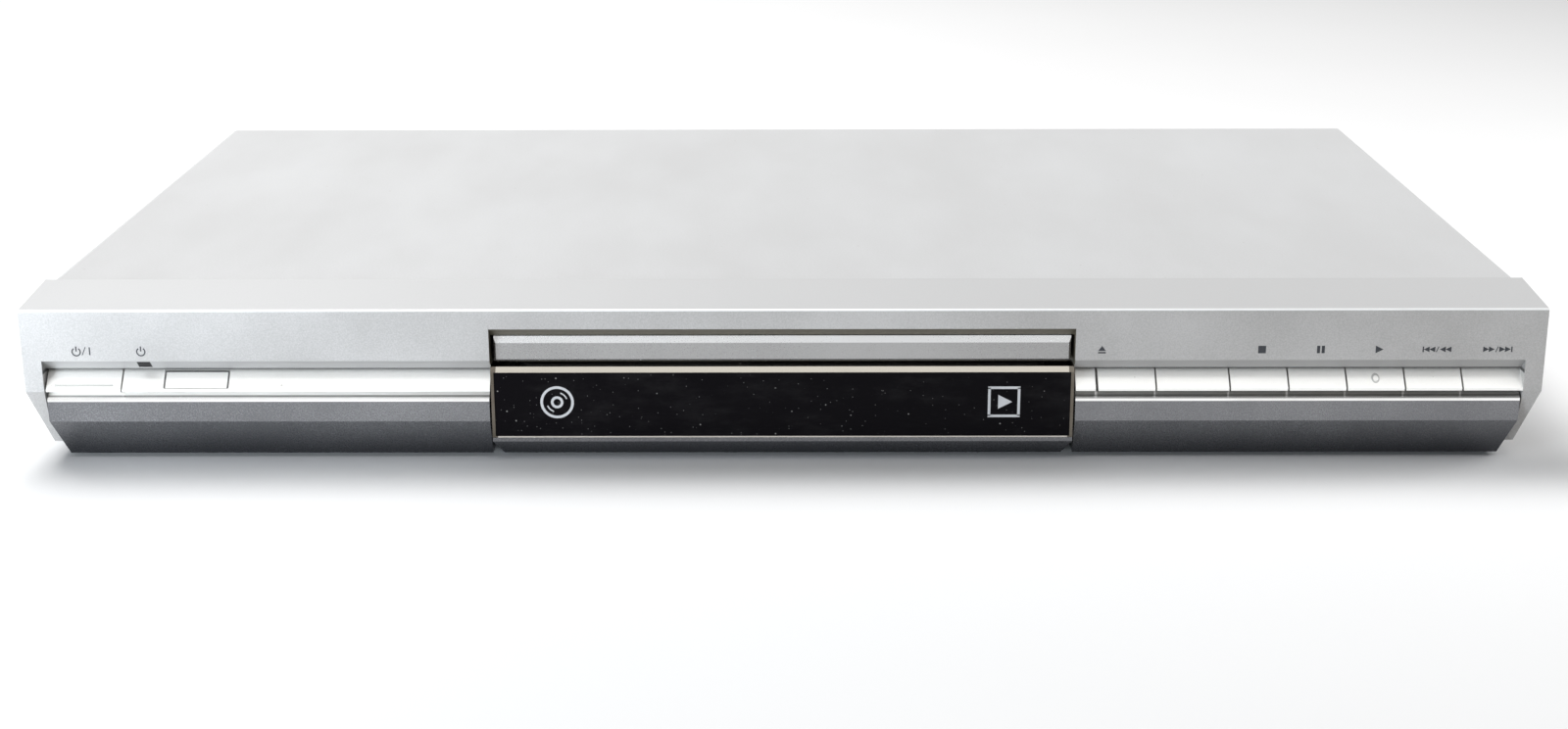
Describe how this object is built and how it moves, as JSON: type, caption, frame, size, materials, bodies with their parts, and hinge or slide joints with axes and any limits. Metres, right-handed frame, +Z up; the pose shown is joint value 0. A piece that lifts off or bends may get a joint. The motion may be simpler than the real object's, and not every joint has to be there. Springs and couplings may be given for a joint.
{
  "type": "disc player with a loading tray",
  "caption": "Slim full-width disc player: steel case, moulded front with a key strip and dark display window, and a motor-driven loading tray with a lifting disc drive inside.",
  "frame": {"origin": "on the floor under the middle of the whole player", "axes": "+X right seen from the front, +Y to the rear (the front faces -Y), +Z up"},
  "size_m": [0.43, 0.256, 0.047],
  "materials": {
    "aluminium": "satin",
    "black_gloss": "polished",
    "black_plastic": "matt",
    "blue_film": "satin",
    "board": "satin",
    "brass": "polished",
    "bright_trim": "polished",
    "clear": "polished",
    "dark_silver": "satin",
    "key_silver": "satin",
    "part_black": "matt",
    "rubber": "matt",
    "screw_steel": "satin",
    "silver_paint": "satin",
    "silver_plastic": "satin",
    "white_plastic": "matt",
    "zinc_steel": "satin"
  },
  "bodies": {
    "case": {"base_pan": "zinc_steel", "top_cover": "silver_paint", "rear_panel": "silver_paint", "feet": "black_plastic", "foot_pads": "rubber", "cover_screws": "screw_steel", "inner_screws": "screw_steel", "fascia": "silver_plastic", "chin_left": "dark_silver", "chin_right": "dark_silver", "centre_chin": "dark_silver", "ledge_trim_left": "bright_trim", "ledge_trim_right": "bright_trim", "window_frame": "bright_trim", "display_window": "black_gloss", "strip_left": "key_silver", "strip_stub": "key_silver", "blank_insert": "key_silver", "standby_lens": "black_gloss", "loader_frame": "black_plastic", "clamper_bridge": "zinc_steel", "loading_motor": "zinc_steel", "drive_belt": "rubber", "traverse_bushes": "rubber", "main_board": "board", "main_chips": "part_black", "power_board": "board", "transformer": "part_black", "capacitors": "part_black", "heat_sink": "aluminium", "key_boards": "board", "display_tube": "clear", "ribbon_cable": "blue_film", "av_jack_block": "black_plastic", "phono_sockets": "brass", "mains_inlet": "black_plastic", "mains_prongs": "brass"},
    "tray": {"disc_tray": "black_plastic", "tray_door": "key_silver"},
    "tray_gear": {"tray_gear": "white_plastic"},
    "pulley_gear": {"pulley_gear": "white_plastic"},
    "motor_pulley": {"motor_pulley": "white_plastic"},
    "clamper": {"clamper": "white_plastic"},
    "cam_slider": {"cam_slider": "white_plastic"},
    "traverse": {"traverse_plate": "zinc_steel", "spindle_motor": "aluminium", "guide_rods": "screw_steel", "feed_motor": "zinc_steel"},
    "turntable": {"turntable": "black_plastic"},
    "sled": {"pickup_sled": "aluminium", "objective_lens": "clear"},
    "feed_screw": {"feed_screw": "screw_steel"},
    "power_button": {"power_button": "key_silver"},
    "open_close_button": {"open_close_button": "key_silver"},
    "enhancer_button": {"enhancer_button": "key_silver"},
    "stop_button": {"stop_button": "key_silver"},
    "pause_button": {"pause_button": "key_silver"},
    "play_button": {"play_button": "key_silver"},
    "skip_back_button": {"skip_back_button": "key_silver"},
    "skip_forward_button": {"skip_forward_button": "key_silver"}
  },
  "joints": [
    {"name": "tray_slide", "type": "slide", "parent": "case", "child": "tray", "axis": [0, -1, 0], "range_m": [0, 0.138]},
    {"name": "tray_gear_turn", "type": "hinge", "parent": "case", "child": "tray_gear", "pos_m": [0.047, -0.086, 0.031], "axis": [0, 0, 1], "range_deg": [-527.13, 0]},
    {"name": "pulley_gear_turn", "type": "hinge", "parent": "case", "child": "pulley_gear", "pos_m": [0.027, -0.086, 0.0266], "axis": [0, 0, 1], "range_deg": [0, 1581.37]},
    {"name": "motor_pulley_turn", "type": "hinge", "parent": "case", "child": "motor_pulley", "pos_m": [-0.022, -0.0855, 0.0207], "axis": [0, 0, 1], "range_deg": [0, 5615.46]},
    {"name": "cam_slide", "type": "slide", "parent": "case", "child": "cam_slider", "axis": [-1, 0, 0], "range_m": [0, 0.02]},
    {"name": "traverse_lift", "type": "hinge", "parent": "case", "child": "traverse", "pos_m": [0, 0.038, 0.024], "axis": [-1, 0, 0], "range_deg": [0, 6.01]},
    {"name": "turntable_spin", "type": "hinge", "parent": "traverse", "child": "turntable", "pos_m": [0, -0.04866, 0.02574], "axis": [0, -0.1047, 0.9945], "continuous": true},
    {"name": "clamper_spin", "type": "hinge", "parent": "case", "child": "clamper", "pos_m": [0, -0.048, 0.0366], "axis": [0, 0, 1], "continuous": true},
    {"name": "pickup_slide", "type": "slide", "parent": "traverse", "child": "sled", "axis": [0, 0.9945, 0.1047], "range_m": [0, 0.034]},
    {"name": "feed_screw_turn", "type": "hinge", "parent": "traverse", "child": "feed_screw", "pos_m": [0.034, -0.03754, 0.01565], "axis": [0, 0.9945, 0.1047], "range_deg": [0, 4080.01]},
    {"name": "power_press", "type": "slide", "parent": "case", "child": "power_button", "axis": [0, 1, 0], "range_m": [0, 0.0006], "stiffness_N_per_m": 800},
    {"name": "open_close_press", "type": "slide", "parent": "case", "child": "open_close_button", "axis": [0, 1, 0], "range_m": [0, 0.0006], "stiffness_N_per_m": 800},
    {"name": "enhancer_press", "type": "slide", "parent": "case", "child": "enhancer_button", "axis": [0, 1, 0], "range_m": [0, 0.0006], "stiffness_N_per_m": 800},
    {"name": "stop_press", "type": "slide", "parent": "case", "child": "stop_button", "axis": [0, 1, 0], "range_m": [0, 0.0006], "stiffness_N_per_m": 800},
    {"name": "pause_press", "type": "slide", "parent": "case", "child": "pause_button", "axis": [0, 1, 0], "range_m": [0, 0.0006], "stiffness_N_per_m": 800},
    {"name": "play_press", "type": "slide", "parent": "case", "child": "play_button", "axis": [0, 1, 0], "range_m": [0, 0.0006], "stiffness_N_per_m": 800},
    {"name": "skip_back_press", "type": "slide", "parent": "case", "child": "skip_back_button", "axis": [0, 1, 0], "range_m": [0, 0.0006], "stiffness_N_per_m": 800},
    {"name": "skip_forward_press", "type": "slide", "parent": "case", "child": "skip_forward_button", "axis": [0, 1, 0], "range_m": [0, 0.0006], "stiffness_N_per_m": 800}
  ],
  "couplings": [
    {"joint": "tray_gear_turn", "follows": "tray_slide", "rad_per_m": -66.667},
    {"joint": "pulley_gear_turn", "follows": "tray_slide", "rad_per_m": 200},
    {"joint": "motor_pulley_turn", "follows": "tray_slide", "rad_per_m": 710.2},
    {"joint": "traverse_lift", "follows": "cam_slide", "rad_per_m": 5.2422},
    {"joint": "feed_screw_turn", "follows": "pickup_slide", "rad_per_m": 2094.4}
  ]
}
